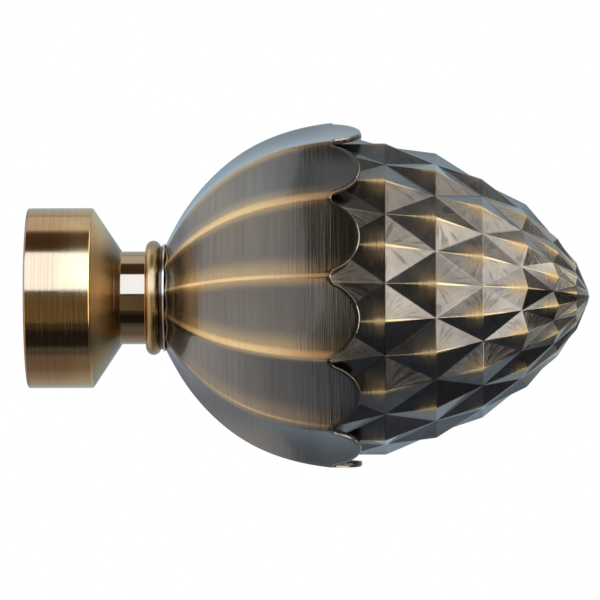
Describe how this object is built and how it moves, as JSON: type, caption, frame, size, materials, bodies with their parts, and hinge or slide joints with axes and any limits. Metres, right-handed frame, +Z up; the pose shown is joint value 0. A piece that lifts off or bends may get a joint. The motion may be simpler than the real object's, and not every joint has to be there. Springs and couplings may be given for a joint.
{
  "type": "curtain pole finial",
  "caption": "Curtain pole finial: a blind socket cap with a neck and bead, a fluted leaf cup with round lobes and a pointed cone of diamond pyramids.",
  "frame": {"origin": "centre of the socket's mouth, where the pole goes in", "axes": "+X along the pole's axis towards the tip, +Z up, the picture's camera looks along +Y"},
  "size_m": [0.1013, 0.0625, 0.0621],
  "materials": {
    "bright_brass": "brushed round the axis and lacquered",
    "polished_brass": "polished and lacquered",
    "antique_brass": "dark antique patina brushed back on the ridges",
    "antique_cast_brass": "dark antique patina brushed back on the peaks",
    "screw_steel": "zinc plated",
    "dark_steel": "black oxide"
  },
  "bodies": {
    "root": {"pole_cap": "bright_brass", "neck_bead": "polished_brass", "leaf_cup": "antique_brass", "faceted_cone": "antique_cast_brass", "fixing_screw": "screw_steel", "grub_screw": "dark_steel"}
  },
  "joints": []
}
